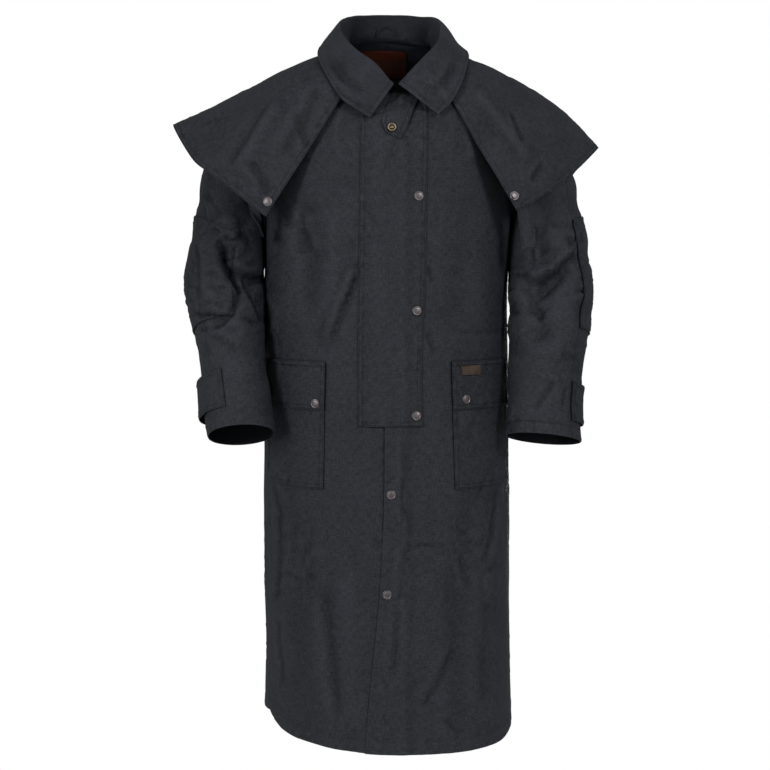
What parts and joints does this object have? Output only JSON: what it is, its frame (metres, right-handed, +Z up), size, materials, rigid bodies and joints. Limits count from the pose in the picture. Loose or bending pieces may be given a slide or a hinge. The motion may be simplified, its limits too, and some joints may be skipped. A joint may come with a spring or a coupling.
{
  "type": "duster coat",
  "caption": "Long caped duster coat of dark waxed cotton, worn and snapped shut, with a storm flap, flap pockets and a wide collar.",
  "frame": {"origin": "between the two points where the shoulder seams meet the neck, where the coat rests on its wearer", "axes": "+Z up, the front faces -Y, +X is the wearer's left"},
  "size_m": [0.806, 0.4095, 1.3663],
  "materials": {
    "waxed_cotton": "waxed, dull sheen",
    "copper_snap": "antique copper",
    "light_brass": "brushed",
    "brown_leather": "smooth, dark",
    "tan_leather": "worn, matt"
  },
  "bodies": {
    "root": {"front_left": "waxed_cotton", "front_right": "waxed_cotton", "back_left": "waxed_cotton", "back_right": "waxed_cotton", "sleeve_front_left": "waxed_cotton", "sleeve_back_left": "waxed_cotton", "sleeve_front_right": "waxed_cotton", "sleeve_back_right": "waxed_cotton", "elbow_patch_left": "waxed_cotton", "elbow_patch_right": "waxed_cotton", "cuff_tab_left": "waxed_cotton", "cuff_tab_right": "waxed_cotton", "cape": "waxed_cotton", "collar": "waxed_cotton", "storm_flap": "waxed_cotton", "throat_tab": "waxed_cotton", "pocket_left": "waxed_cotton", "pocket_right": "waxed_cotton", "pocket_flap_left": "waxed_cotton", "pocket_flap_right": "waxed_cotton", "keeper_strap_left": "waxed_cotton", "keeper_strap_right": "waxed_cotton", "hanger_loop": "waxed_cotton", "storm_snap_1": "copper_snap", "storm_snap_2": "copper_snap", "storm_snap_3": "copper_snap", "front_snap_1": "copper_snap", "front_snap_2": "copper_snap", "pocket_snap_left": "copper_snap", "pocket_snap_right": "copper_snap", "cape_snap_left": "copper_snap", "cape_snap_right": "copper_snap", "throat_button": "light_brass", "neck_label": "brown_leather", "pocket_badge": "tan_leather"}
  },
  "joints": []
}
